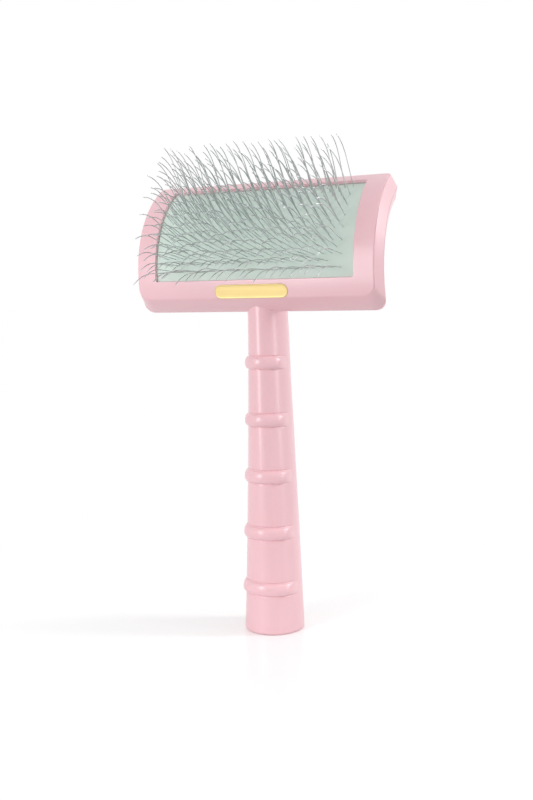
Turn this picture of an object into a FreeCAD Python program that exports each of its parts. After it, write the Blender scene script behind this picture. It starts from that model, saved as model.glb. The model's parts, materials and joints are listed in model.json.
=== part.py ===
import FreeCAD, Part
import math
import os
import Sketcher

# Slicker brush: a curved head with a spring-mounted pad of bent wire pins, on a tapered handle.
# Millimetres, +Z up. The origin is the centre of the handle's flat foot, -Y is the bristle side
# and X runs along the head. The head is a piece of a tube whose axis runs along X; radii and
# angles of head parts are measured from that axis, angles from straight forward, up positive.

os.makedirs("parts", exist_ok=True)
doc = FreeCAD.newDocument("slicker_brush")
Vector = FreeCAD.Vector
Rotation = FreeCAD.Rotation
Placement = FreeCAD.Placement
X_AXIS = Vector(1, 0, 0)

SIZES = {
    # the head's curve
    "curve_y": 16.9, "curve_z": 174.2,
    "face_radius": 46.5, "rim_radius": 40.0, "back_radius": 34.0,
    # front face and back rim: half lengths, and angles of their lower and upper edges
    "face_half": 58.7, "rim_half": 61.0, "back_half": 59.4,
    "face_low": 18.7, "rim_low": 30.8, "head_top": 61.3,
    "top_corner": 2.0, "low_corner": 5.0, "edge_round": 0.9, "back_round": 1.8,
    "wall": 2.0, "end_wall": 2.4,
    # room beyond the head that cutting shapes reach into
    "cut_front": 50.0, "cut_back": 30.0, "cut_low": 45.0, "cut_side": 4.0, "cut_turn": 5.0,
    "envelope_radius": 60.0, "over_cut": 1.0,
    # window, lip and the pocket that the pad moves in
    "window_half": 49.1, "window_low": 7.9, "window_top": 54.7,
    "lip_radius": 45.0, "pocket_half": 52.3, "pocket_low": 12.1, "rib": 1.3, "rib_turn": 1.6,
    "rib_short": 0.3, "channel_half": 56.8, "channel_step": 0.2, "channel_wall": 2.1,
    # the layers under the window, each from one radius to the next
    "pad_front": 44.8, "pad_back": 43.2, "cloth_back": 42.7,
    "foam_front": 42.2, "plate_front": 37.6, "plate_back": 36.0,
    "pad_half": 51.1, "pad_low": 10.4, "pad_top": 57.2,
    "cloth_half": 50.8, "cloth_low": 10.1, "cloth_top": 56.9,
    "foam_half": 50.4, "foam_low": 9.8, "foam_top": 56.5,
    "plate_half": 53.0, "plate_low": 13.3, "plate_top": 58.5, "sheet_corner": 1.5,
    # pins: U-shaped staples of round wire, each with two legs
    "wire": 0.4, "crown_radius": 42.48, "crown_bend": 0.6, "pin_rows": 15, "pins_low": 2.5,
    "pins_top": 51.0, "leg_pitch": 4.1, "legs_in_row": 22, "pin_straight": 14.5,
    "pin_curved": 15.0, "pin_bend": 36.0,
    # name plate in its recess
    "plaque_angle": 14.4, "plaque_half": 15.1, "plaque_round": 3.2, "plaque_floor": 45.85,
    "adhesive": 0.1, "plaque_thick": 0.85, "plaque_gap": 0.12, "plaque_cut": 3.0,
    # screws: angles and places, sizes, and how far each head lies below its surface
    "screw_low": -19.5, "screw_middle": 8.0, "screw_high": 47.0, "neck_low": -12.0,
    "neck_high": 3.0, "boss_x": 55.4, "low_boss_x": 26.0, "low_boss_top": 43.5,
    "boss_round": 2.2, "boss_gap": 0.05, "screw_round": 1.0, "screw_length": 8.0,
    "countersink": 1.9, "countersink_deep": 1.1, "hole_play": 0.02, "hole_clear": 0.15,
    "sink_play": 0.05, "hole_cut": 4.0, "neck_screw_round": 1.5, "neck_screw_length": 10.0,
    "neck_countersink": 2.8, "neck_countersink_deep": 1.5, "insert_round": 2.3,
    "insert_length": 6.0, "insert_start": 0.6, "neck_relief": 3.5, "drive_round": 0.75,
    "neck_drive_round": 1.1, "drive_share": 0.7, "sink_lift": 0.02, "head_sunk": 0.03,
    "neck_sink_lift": 0.13, "neck_head_sunk": 0.18,
    # handle
    "grip_wall": 2.6, "foot_round": 1.2, "cavity_top": 138.0, "socket_deep": 8.0,
    "socket_wall": 2.4, "cap_gap": 0.03, "cap_floor": 2.0, "cap_wall": 1.6, "cap_short": 0.1,
    "ridges": 5, "ridge_first": 22.0, "ridge_pitch": 27.0, "ridge_half": 3.0,
    "ridge_proud": 2.0, "ridge_sink": 0.15,
}

# Handle stations from the foot up to the fairing on the back of the head:
# name, height, centre Y, half width in X, half depth in Y.
STATIONS = [
    ("foot", 0.0, 0.0, 14.3, 15.9),
    ("heel", 9.0, -0.3, 13.9, 15.5),
    ("palm", 37.0, -1.5, 12.8, 14.9),
    ("middle", 64.0, -2.9, 11.7, 14.3),
    ("fingers", 93.0, -4.6, 10.6, 13.7),
    ("thumb", 119.0, -6.4, 9.7, 13.1),
    ("throat", 151.0, -8.6, 8.8, 12.8),
    ("nape", 166.0, -10.6, 8.6, 12.2),
    ("saddle", 177.0, -14.6, 7.6, 10.0),
    ("tail", 186.0, -20.8, 4.6, 4.8),
]

sheet = doc.addObject("Spreadsheet::Sheet", "sizes")
cells = dict(SIZES)
for name, height, centre, wide, deep in STATIONS:
    cells[name + "_height"] = height
    cells[name + "_centre"] = centre
    cells[name + "_wide"] = wide
    cells[name + "_deep"] = deep
for line, (alias, value) in enumerate(cells.items(), start=1):
    sheet.set("A%d" % line, alias)
    sheet.set("B%d" % line, str(value))
    sheet.setAlias("B%d" % line, alias)
doc.recompute()
probe = doc.addObject("Part::Box", "probe")
CLOSE = 0.05  # two places nearer than this are taken as one


def size(alias):
    """The value of one cell of the sheet."""
    return float(getattr(sheet, alias))


def bind(thing, **expressions):
    """Bind properties of a feature to expressions in the sheet's words."""
    for prop, expression in expressions.items():
        thing.setExpression(prop, words(expression))


def words(expression):
    """Put the sheet's name before each of its words in an expression."""
    out, word = "", ""
    for char in expression + " ":
        if char.isalnum() or char == "_":
            word += char
            continue
        out += ("sizes." + word if word in cells else word) + char
        word = ""
    return out.strip()


# ---------------------------------------------------------------- head bodies and their sketches

def head_body(label):
    """A body whose own X, Y, Z are the head's length, up and forward, from the curve's axis."""
    body = doc.addObject("PartDesign::Body", label)
    body.Label = label
    body.Placement = Placement(Vector(0, size("curve_y"), size("curve_z")), Rotation(X_AXIS, 90))
    return body


def sketch_on(body, name, role, turn=0.0, out=0.0):
    """A sketch on an origin plane of its body, turned up about X, then moved out along its normal."""
    sketch = body.newObject("Sketcher::SketchObject", name)
    plane = [item for item in body.Origin.OriginFeatures if item.Role == role][0]
    sketch.AttachmentSupport = [(plane, "")]
    sketch.MapMode = "FlatFace"
    spin = Rotation(X_AXIS, -turn)
    sketch.AttachmentOffset = Placement(spin.multVec(Vector(0, 0, out)), spin)
    return sketch


def outline(sketch, corners):
    """Closed straight outline; each corner is a pair of expressions, held by two dimensions."""
    first = sketch.GeometryCount
    count = len(corners)
    guess = [[sheet_value(part) for part in corner] for corner in corners]
    for index in range(count):
        here, there = guess[index], guess[(index + 1) % count]
        sketch.addGeometry(Part.LineSegment(Vector(*here, 0), Vector(*there, 0)))
    for index in range(count):
        follower = first + (index + 1) % count
        sketch.addConstraint(Sketcher.Constraint("Coincident", first + index, 2, follower, 1))
        for kind, value, text in zip(("DistanceX", "DistanceY"), guess[index], corners[index]):
            rule = Sketcher.Constraint(kind, -1, 1, first + index, 1, value)
            number = sketch.addConstraint(rule)
            sketch.setExpression("Constraints[%d]" % number, words(text))


def sheet_value(expression):
    """Value of an expression, worked out with the sheet's numbers and angles in degrees."""
    probe.setExpression("Length", words(expression))
    probe.recompute()
    return probe.Length.Value


def circles(sketch, centres, radius):
    """Circles at pairs of expressions, all of one radius expression."""
    for across, up in centres:
        spot = Vector(sheet_value(across), sheet_value(up), 0)
        ring = sketch.addGeometry(Part.Circle(spot, Vector(0, 0, 1), sheet_value(radius)))
        rules = (("DistanceX", across, spot.x), ("DistanceY", up, spot.y))
        for kind, text, value in rules:
            number = sketch.addConstraint(Sketcher.Constraint(kind, -1, 1, ring, 3, value))
            sketch.setExpression("Constraints[%d]" % number, words(text))
        number = sketch.addConstraint(Sketcher.Constraint("Radius", ring, sheet_value(radius)))
        sketch.setExpression("Constraints[%d]" % number, words(radius))


def slot_outline(sketch, half, radius):
    """A slot along the sketch's X, of half length between arc centres and end radius."""
    reach, bow = sheet_value(half), sheet_value(radius)
    for side in (1, -1):
        sketch.addGeometry(Part.LineSegment(Vector(-side * reach, side * bow, 0),
                                            Vector(side * reach, side * bow, 0)))
        rim = Part.Circle(Vector(side * reach, 0, 0), Vector(0, 0, 1), bow)
        quarter = math.pi / 2 * side
        sketch.addGeometry(Part.ArcOfCircle(rim, -quarter, quarter) if side > 0
                           else Part.ArcOfCircle(rim, -quarter, -quarter + math.pi))
    rules = [("Coincident", 0, 2, 1, 2), ("Coincident", 1, 1, 2, 1),
             ("Coincident", 2, 2, 3, 2), ("Coincident", 3, 1, 0, 1),
             ("PointOnObject", 1, 3, -1), ("PointOnObject", 3, 3, -1),
             ("Horizontal", 0), ("Horizontal", 2), ("Equal", 1, 3),
             ("Tangent", 0, 1)]
    for rule in rules:
        sketch.addConstraint(Sketcher.Constraint(*rule))
    for kind, arguments, text in (("DistanceX", (-1, 1, 1, 3), half),
                                  ("DistanceX", (-1, 1, 3, 3), "0 - " + half),
                                  ("Radius", (1,), radius)):
        number = sketch.addConstraint(Sketcher.Constraint(kind, *arguments, sheet_value(text)))
        sketch.setExpression("Constraints[%d]" % number, words(text))


def turned(body, kind, name, corners, low, top):
    """Turn a half section about the head's axis, from the low angle below to the top above."""
    sketch = sketch_on(body, name + "Section", "XZ_Plane")
    for closed in corners:
        outline(sketch, closed)
    feature = body.newObject("PartDesign::" + kind, name)
    feature.Profile = sketch
    feature.ReferenceAxis = (sketch, ["H_Axis"])
    feature.Type = "TwoAngles"
    bind(feature, Angle=low, Angle2=top)
    body.Tip = feature
    doc.recompute()
    return feature


def band(half, inner, outer):
    """Corners of a rectangle across the head, between two radii."""
    return [(half, inner), (half, outer), ("0 - " + half, outer), ("0 - " + half, inner)]


def trough(body, kind, name, corners, width):
    """Pad or pocket an outline of the head's cross section, evenly to both sides."""
    sketch = sketch_on(body, name + "Section", "YZ_Plane")
    outline(sketch, corners)
    feature = body.newObject("PartDesign::" + kind, name)
    feature.Profile = sketch
    feature.SideType = "Symmetric"
    bind(feature, Length=width)
    body.Tip = feature
    doc.recompute()
    return feature


def at(radius, angle):
    """Height and forward reach of a point at a radius and an angle, as expressions."""
    return ("(%s) * sin(%s)" % (radius, angle), "(%s) * cos(%s)" % (radius, angle))


def edges_where(shape, test):
    """Names of a shape's edges that pass a test."""
    return ["Edge%d" % (i + 1) for i, edge in enumerate(shape.Edges) if test(edge)]


def dress(body, kind, name, test, prop, value):
    """Fillet or chamfer the body's edges that pass a test."""
    base = body.Tip
    local = base.Shape
    feature = body.newObject("PartDesign::" + kind, name)
    feature.Base = (base, edges_where(local, test))
    bind(feature, **{prop: value})
    body.Tip = feature
    doc.recompute()
    return feature


def polar(point):
    """Radius and angle in degrees of a point in a head body's own coordinates."""
    return math.hypot(point.y, point.z), math.degrees(math.atan2(point.y, point.z))


def corner_edge(upper):
    """A test for the edges that run from front to back at the head's upper or lower corners."""
    def test(edge):
        ends = [polar(vertex.Point) for vertex in edge.Vertexes]
        if len(ends) < 2 or abs(ends[0][0] - ends[1][0]) < size("face_radius") - size("lip_radius"):
            return False
        outside = all(abs(vertex.Point.x) > size("window_half") for vertex in edge.Vertexes)
        return outside and all((angle > 0) == upper for _, angle in ends)
    return test


def edge_at(radius):
    """A test for the edges that lie on a cylinder about the head's axis."""
    def test(edge):
        middle = edge.valueAt((edge.FirstParameter + edge.LastParameter) / 2)
        points = [middle] + [vertex.Point for vertex in edge.Vertexes]
        return all(abs(polar(point)[0] - size(radius)) < CLOSE for point in points)
    return test


def round_corners(body):
    """Round the four corners of a shell of the head."""
    dress(body, "Fillet", "TopCorners", corner_edge(True), "Radius", "top_corner")
    dress(body, "Fillet", "LowCorners", corner_edge(False), "Radius", "low_corner")


def on_underside(forward, inset="0"):
    """A point of the sloping line from the face's lower edge to the rim's, or of one inside it."""
    face_y, face_z = at("face_radius", "0 - face_low")
    rim_y, rim_z = at("rim_radius", "0 - rim_low")
    fall = "((%s - %s) / (%s - %s))" % (face_y, rim_y, face_z, rim_z)
    lift = "(%s) * sqrt(1 + %s ^ 2)" % (inset, fall)
    return "%s + (%s - %s) * %s + %s" % (face_y, forward, face_z, fall, lift), forward


def under_slope(body):
    """Cut the head's underside, which slopes back and down from the face to the rim."""
    low = "0 - cut_low"
    corners = [on_underside("cut_front"), (low, "cut_front"), (low, "cut_back"),
               on_underside("cut_back")]
    trough(body, "Pocket", "Underside", corners, "2 * (rim_half + cut_side)")


# ---------------------------------------------------------------- bezel: the front frame

bezel = head_body("bezel")
side = [("rim_half", "rim_radius"), ("face_half", "face_radius"),
        ("0 - face_half", "face_radius"), ("0 - rim_half", "rim_radius")]
turned(bezel, "Revolution", "Frame", [side], "rim_low + cut_turn", "head_top")
under_slope(bezel)
round_corners(bezel)
dress(bezel, "Fillet", "SoftFaceEdge", edge_at("face_radius"), "Radius", "edge_round")
turned(bezel, "Groove", "PadPocket", [band("pocket_half", "rim_radius - over_cut", "lip_radius")],
       "pocket_low", "head_top - end_wall")


def side_bands(inner, outer, low, high):
    """The same rectangle near each end of the head, between two places and two radii."""
    return [[(sign + inner, low), (sign + inner, high), (sign + outer, high), (sign + outer, low)]
            for sign in ("", "0 - ")]


turned(bezel, "Groove", "SideChannels",
       side_bands("(pocket_half + rib)", "channel_half", "rim_radius - over_cut",
                  "lip_radius - channel_step"),
       "pocket_low + rib_turn", "head_top - end_wall")

# the channel below the pad's pocket follows the sloping underside, one wall away from it
rib_angle = "0 - (pocket_low + rib_turn)"
channel_front = at("lip_radius - over_cut", rib_angle)
channel_back = at("back_radius - over_cut", rib_angle)
trough(bezel, "Pocket", "LowerChannel",
       [channel_front, channel_back, on_underside(channel_back[1], "channel_wall"),
        on_underside(channel_front[1], "channel_wall")], "2 * channel_half")
turned(bezel, "Groove", "Window",
       [band("window_half", "lip_radius - over_cut", "face_radius + over_cut")],
       "window_low", "window_top")

# the pocket's ribs run on past the rim, down to the support plate, and clamp its edge
turned(bezel, "Revolution", "ClampRibs",
       side_bands("pocket_half", "(pocket_half + rib)", "plate_front",
                  "rim_radius + channel_step"),
       "plate_low", "head_top - end_wall - rib_short")


def studs(body, kind, name, angle, places, radius, start, length, outward):
    """Round pads or pockets that stand across the head's curve at one angle."""
    sketch = sketch_on(body, name + "Circles", "XY_Plane", sheet_value(angle), sheet_value(start))
    circles(sketch, [(place, "0") for place in places], radius)
    feature = body.newObject("PartDesign::" + kind, name)
    feature.Profile = sketch
    feature.Reversed = outward if kind == "Pocket" else not outward
    bind(feature, Length=length)
    body.Tip = feature
    before = body.Shape.Volume
    doc.recompute()
    change = body.Shape.Volume - before
    if (change > 0) != (kind == "Pad"):
        raise ValueError(name + " changed nothing")


BOTH = ["boss_x", "0 - boss_x"]
LOWER = ["low_boss_x", "0 - low_boss_x"]
SCREW_PLACES = [("Low", "screw_low", LOWER, "low_boss_top"),
                ("Middle", "screw_middle", BOTH, "lip_radius"),
                ("High", "screw_high", BOTH, "lip_radius")]
for name, angle, places, top in SCREW_PLACES:
    studs(bezel, "Pad", name + "Bosses", angle, places, "boss_round",
          "plate_back + boss_gap", top + " - plate_back", True)
for name, angle, places, _ in SCREW_PLACES:
    studs(bezel, "Pocket", name + "Pilots", angle, places, "screw_round + hole_play",
          "plate_back", "screw_length - over_cut", True)

plaque_sketch = sketch_on(bezel, "PlaqueOutline", "XY_Plane", -size("plaque_angle"),
                          size("plaque_floor"))
slot_outline(plaque_sketch, "plaque_half", "plaque_round + plaque_gap")
plaque_recess = bezel.newObject("PartDesign::Pocket", "PlaqueRecess")
plaque_recess.Profile = plaque_sketch
plaque_recess.Reversed = True
bind(plaque_recess, Length="plaque_cut")
bezel.Tip = plaque_recess
doc.recompute()

# ---------------------------------------------------------------- rear cover: a curved tray

cover_blank = head_body("cover_blank")
tray = [("back_half", "back_radius"), ("rim_half", "rim_radius"),
        ("0 - rim_half", "rim_radius"), ("0 - back_half", "back_radius")]
turned(cover_blank, "Revolution", "Tray", [tray], "rim_low", "head_top")
round_corners(cover_blank)
dress(cover_blank, "Fillet", "SoftBackEdge", edge_at("back_radius"), "Radius", "back_round")
hollow = [("back_half - wall", "plate_back"), ("rim_half - wall", "rim_radius + over_cut"),
          ("0 - (rim_half - wall)", "rim_radius + over_cut"),
          ("0 - (back_half - wall)", "plate_back")]
turned(cover_blank, "Groove", "Hollow", [hollow], "rim_low - end_wall", "head_top - end_wall")
for name, angle, places, _ in SCREW_PLACES:
    studs(cover_blank, "Pocket", name + "Holes", angle, places, "screw_round + hole_clear",
          "back_radius - over_cut", "hole_cut", True)

# the two neck screws go the other way, from inside the tray into the handle
NECK_PLACES = [("Lower", "neck_low"), ("Upper", "neck_high")]
for name, angle in NECK_PLACES:
    studs(cover_blank, "Pocket", name + "NeckHole", angle, ["0"],
          "neck_screw_round + hole_clear", "back_radius - over_cut", "hole_cut", True)


def cone(name, big, small, depth):
    """A truncated cone along Z, standing on its big end."""
    solid = doc.addObject("Part::Cone", name)
    bind(solid, Radius1=big, Radius2=small, Height=depth)
    return solid


def across_curve(angle, radius, place, outward=True):
    """Placement of a solid made along Z, set on the head at an angle, radius and place along X."""
    low = Rotation(X_AXIS, 90 - angle)
    flip = low if outward else low.multiply(Rotation(X_AXIS, 180))
    centre = Vector(place, size("curve_y"), size("curve_z"))
    return Placement(centre + low.multVec(Vector(0, 0, radius)), flip)


def shape_at(solid, placement):
    """A copy of a solid's shape with its own placement replaced."""
    shape = solid.Shape.copy()
    shape.Placement = placement
    return shape


def group(label, shapes):
    """One node that holds several separate solids alike."""
    node = doc.addObject("Part::Feature", label)
    node.Label = label
    node.Shape = Part.makeCompound(shapes)
    return node


def cylinder(name, radius, height):
    """A cylinder along Z."""
    solid = doc.addObject("Part::Cylinder", name)
    bind(solid, Radius=radius, Height=height)
    return solid


def screw(name, head, head_deep, shank, length, drive):
    """Countersunk screw along +Z from its flat head, with a hexagonal drive socket."""
    flat = cone(name + "_head", head, shank, head_deep)
    stem = cylinder(name + "_stem", shank, length)
    both = doc.addObject("Part::Fuse", name + "_blank")
    both.Base, both.Tool = flat, stem
    socket = doc.addObject("Part::Prism", name + "_socket")
    socket.Polygon = 6
    bind(socket, Circumradius=drive, Height=head_deep + " * drive_share")
    done = doc.addObject("Part::Cut", name + "_pattern")
    done.Base, done.Tool = both, socket
    doc.recompute()
    return done


def cut_from(label, base, tools):
    """Cut several shapes from one object, as a chain of Part cuts, and label the last one."""
    node = base
    for index, tool in enumerate(tools):
        cut = doc.addObject("Part::Cut", "%s_cut%d" % (label, index))
        cut.Base, cut.Tool = node, tool
        node = cut
    node.Label = label
    doc.recompute()
    return node


# countersinks: small screws from the back, neck screws from inside the tray
head_spots = []
for _, angle, places, _ in SCREW_PLACES:
    for place in places:
        head_spots.append((sheet_value(angle), sheet_value(place)))
neck_spots = [sheet_value(angle) for _, angle in NECK_PLACES]
small_sink = cone("small_sink", "countersink + sink_play", "screw_round + hole_clear",
                  "countersink_deep")
neck_sink = cone("neck_sink", "neck_countersink + sink_play", "neck_screw_round + hole_clear",
                 "neck_countersink_deep")
doc.recompute()


def at_heads(solid, lift):
    """Copies of a solid at each head screw, from the back surface moved out by a lift."""
    radius = size("back_radius") + lift
    return [shape_at(solid, across_curve(angle, radius, place)) for angle, place in head_spots]


def at_neck(solid, radius):
    """Copies of a solid at each neck screw, pointing back from a radius."""
    return [shape_at(solid, across_curve(angle, radius, 0, False)) for angle in neck_spots]


sinks = at_heads(small_sink, -size("sink_lift"))
sinks += at_neck(neck_sink, size("plate_back") - size("neck_sink_lift"))
cut_from("rear_cover", cover_blank, [group("countersinks", sinks)])

# ---------------------------------------------------------------- screws and inserts

small_screw = screw("small_screw", "countersink", "countersink_deep", "screw_round",
                    "screw_length", "drive_round")
neck_screw = screw("neck_screw", "neck_countersink", "neck_countersink_deep",
                   "neck_screw_round", "neck_screw_length", "neck_drive_round")
group("head_screws", at_heads(small_screw, size("head_sunk")))
group("neck_screws", at_neck(neck_screw, size("plate_back") - size("neck_head_sunk")))

insert_bore = cylinder("insert_bore", "neck_screw_round + hole_play", "insert_length")
insert_body = doc.addObject("Part::Prism", "insert_body")
insert_body.Polygon = 12
bind(insert_body, Circumradius="insert_round", Height="insert_length")
insert_pattern = cut_from("insert_pattern", insert_body, [insert_bore])
group("threaded_inserts", at_neck(insert_pattern, size("back_radius") - size("insert_start")))

# ---------------------------------------------------------------- layers behind the window


def is_radial(edge):
    """An edge that runs from one radius to another."""
    ends = [polar(vertex.Point)[0] for vertex in edge.Vertexes]
    return len(ends) == 2 and abs(ends[0] - ends[1]) > CLOSE


LAYERS = [("support_plate", "plate", "plate_back", "plate_front"),
          ("foam_cushion", "foam", "plate_front", "foam_front"),
          ("pad_cloth", "cloth", "cloth_back", "pad_back"),
          ("pin_pad", "pad", "pad_back", "pad_front")]
for label, word, inner, outer in LAYERS:
    body = head_body(label)
    turned(body, "Revolution", "Sheet", [band(word + "_half", inner, outer)],
           word + "_low", word + "_top")
    dress(body, "Fillet", "RoundCorners", is_radial, "Radius", "sheet_corner")

# ---------------------------------------------------------------- pins: rows of wire staples


def leg_path(place, angle, crown_side):
    """Points and directions of one leg: a straight run out of the pad, then an arc downwards."""
    out = Vector(0, math.sin(angle), math.cos(angle))
    down = Vector(0, -math.cos(angle), math.sin(angle))
    crown = Vector(place, 0, 0) + out * size("crown_radius")
    straight = size("pad_front") - size("crown_radius") + size("pin_straight")
    turn = math.radians(size("pin_bend"))
    radius = size("pin_curved") / turn
    bend = crown + out * straight

    def on_arc(part):
        swing = turn * part
        return bend + out * (radius * math.sin(swing)) + down * (radius * (1 - math.cos(swing)))

    # a quarter round of this radius joins the leg to the crown
    corner = size("crown_bend")
    aside = X_AXIS * (corner * crown_side)
    start = crown + out * corner
    knee_middle = crown + (aside + out * corner) * (1 - math.sqrt(0.5))
    return crown + aside, knee_middle, start, bend, on_arc(0.5), on_arc(1.0)


def staple(left, right, angle):
    """One wire staple: a crown behind the cloth and two bent legs, as one swept solid."""
    near_l = leg_path(left, angle, 1)
    near_r = leg_path(right, angle, -1)
    edges = [Part.Arc(near_l[5], near_l[4], near_l[3]).toShape(),
             Part.LineSegment(near_l[3], near_l[2]).toShape(),
             Part.Arc(near_l[2], near_l[1], near_l[0]).toShape(),
             Part.LineSegment(near_l[0], near_r[0]).toShape(),
             Part.Arc(near_r[0], near_r[1], near_r[2]).toShape(),
             Part.LineSegment(near_r[2], near_r[3]).toShape(),
             Part.Arc(near_r[3], near_r[4], near_r[5]).toShape()]
    path = Part.Wire(edges)
    first = edges[0]
    tangent = first.tangentAt(first.FirstParameter)
    section = Part.Wire(Part.makeCircle(size("wire") / 2, near_l[5], tangent))
    return path.makePipeShell([section], True, False)


pin_row_count = int(size("pin_rows"))
for row in range(pin_row_count):
    step = (size("pins_top") + size("pins_low")) / (pin_row_count - 1)
    angle = math.radians(-size("pins_low") + step * row)
    pitch = size("leg_pitch")
    legs = int(size("legs_in_row"))
    start = -pitch * (legs - 1) / 2
    if row % 2:
        # every second row stands half a pitch over, with one staple fewer, to one side in turn
        legs -= 2
        start += pitch * (0.5 if row % 4 == 1 else 1.5)
    staples = [staple(start + pitch * leg, start + pitch * (leg + 1), angle)
               for leg in range(0, legs, 2)]
    node = group("pin_row_%02d" % (row + 1), staples)
    node.Placement = Placement(Vector(0, size("curve_y"), size("curve_z")), Rotation(X_AXIS, 90))

# ---------------------------------------------------------------- name plate

for label, inner, thick in (("name_plate_adhesive", "plaque_floor", "adhesive"),
                            ("name_plate", "plaque_floor + adhesive", "plaque_thick")):
    body = head_body(label)
    sketch = sketch_on(body, "Outline", "XY_Plane", -size("plaque_angle"), sheet_value(inner))
    slot_outline(sketch, "plaque_half", "plaque_round")
    pad = body.newObject("PartDesign::Pad", "Plate")
    pad.Profile = sketch
    bind(pad, Length=thick)
    body.Tip = pad
    doc.recompute()

# ---------------------------------------------------------------- handle


def oval(name, height, centre, wide, deep):
    """A closed ellipse, level, longer from front to back than across."""
    ring = doc.addObject("Part::Ellipse", name)
    bind(ring, MajorRadius=deep, MinorRadius=wide)
    ring.Placement = Placement(Vector(0, sheet_value(centre), sheet_value(height)),
                               Rotation(Vector(0, 0, 1), 90))
    return ring


def loft(name, rings):
    """A solid through a stack of ovals."""
    solid = doc.addObject("Part::Loft", name)
    solid.Sections = rings
    solid.Solid = True
    doc.recompute()
    return solid


def between(height, column):
    """A station value at any height, from the stations on both sides of it."""
    for lower, upper in zip(STATIONS, STATIONS[1:]):
        if lower[1] <= height <= upper[1]:
            part = (height - lower[1]) / (upper[1] - lower[1])
            return lower[column] + (upper[column] - lower[column]) * part
    raise ValueError("height outside the handle")


outer_rings = [oval("grip_" + name, name + "_height", name + "_centre", name + "_wide",
                    name + "_deep") for name, _, _, _, _ in STATIONS]
blank = loft("grip_blank", outer_rings)
foot_edges = [(i + 1, size("foot_round"), size("foot_round"))
              for i, edge in enumerate(blank.Shape.Edges)
              if edge.BoundBox.ZMax < CLOSE]
rounded = doc.addObject("Part::Fillet", "grip_rounded")
rounded.Base = blank
rounded.Edges = foot_edges
doc.recompute()

ridges = []
for index in range(int(size("ridges"))):
    middle = size("ridge_first") + size("ridge_pitch") * index
    rings = []
    for turn in (0, 45, 90, 135, 180):
        # half a circle's steps up the ridge, which stands out most at its middle
        height = middle - size("ridge_half") * math.cos(math.radians(turn))
        rings.append(oval("ridge%d_%d" % (index, turn), "%.3f" % height,
                          "%.4f - ridge_proud * sin(%d)" % (between(height, 2), turn),
                          "%.4f - ridge_sink" % between(height, 3),
                          "%.4f - ridge_sink" % between(height, 4)))
    ridges.append(loft("ridge_%d" % index, rings))
ridged = doc.addObject("Part::MultiFuse", "grip_ridged")
ridged.Shapes = [rounded] + ridges

envelope = head_body("head_envelope")
turned(envelope, "Revolution", "Envelope", [band("rim_half", "back_radius", "envelope_radius")],
       "rim_low", "head_top + cut_turn")
under_slope(envelope)

cavity_rings = []
for name, height, _, _, _ in STATIONS:
    if height > size("cavity_top"):
        break
    cavity_rings.append(oval("cavity_" + name, name + "_height", name + "_centre",
                             name + "_wide - grip_wall", name + "_deep - grip_wall"))
top_of_cavity = size("cavity_top")
cavity_rings.append(oval("cavity_end", "cavity_top", "%.3f" % between(top_of_cavity, 2),
                         "%.3f - grip_wall" % between(top_of_cavity, 3),
                         "%.3f - grip_wall" % between(top_of_cavity, 4)))
cavity = loft("grip_cavity", cavity_rings)


def oval_block(name, margin, low, height):
    """A straight-sided block on the foot's oval, made smaller all round by a margin."""
    ring = oval(name + "_ring", low, "0", "foot_wide - (%s)" % margin, "foot_deep - (%s)" % margin)
    block = doc.addObject("Part::Extrusion", name)
    block.Base = ring
    block.Dir = Vector(0, 0, 1)
    block.Solid = True
    bind(block, LengthFwd=height)
    doc.recompute()
    return block


socket = oval_block("cap_socket", "socket_wall", "0", "socket_deep")
insert_holes = []
for name, angle in NECK_PLACES:
    hole = cylinder("insert_hole_" + name, "insert_round + hole_play",
                    "insert_length + insert_start")
    hole.Placement = across_curve(sheet_value(angle), size("back_radius"), 0, False)
    relief = cylinder("screw_relief_" + name, "neck_screw_round + hole_clear",
                      "insert_length + neck_relief")
    relief.Placement = hole.Placement
    insert_holes += [hole, relief]
cut_from("handle_grip", ridged, [envelope, cavity, socket] + insert_holes)

cap_block = oval_block("cap_block", "socket_wall + cap_gap", "0", "socket_deep - cap_short")
cap_hollow = oval_block("cap_hollow", "socket_wall + cap_wall", "cap_floor", "socket_deep")
cut_from("end_cap", cap_block, [cap_hollow])

# ---------------------------------------------------------------- checks and export

doc.removeObject("probe")
doc.recompute()
NODES = ["bezel", "rear_cover", "head_screws", "neck_screws", "threaded_inserts",
         "support_plate", "foam_cushion", "pad_cloth", "pin_pad", "name_plate_adhesive",
         "name_plate", "handle_grip", "end_cap"]
NODES += ["pin_row_%02d" % (row + 1) for row in range(pin_row_count)]
for item in doc.Objects:
    if "Invalid" in item.State or "Error" in item.State:
        raise ValueError(item.Label + " failed")
for label in NODES:
    shape = doc.getObjectsByLabel(label)[0].Shape
    if shape.isNull() or not shape.isValid():
        raise ValueError(label + " has no valid shape")
    shape.exportStep("parts/%s.step" % label)
    print(label, len(shape.Solids), round(shape.Volume, 1), shape.BoundBox)
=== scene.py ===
import json
import math

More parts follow.
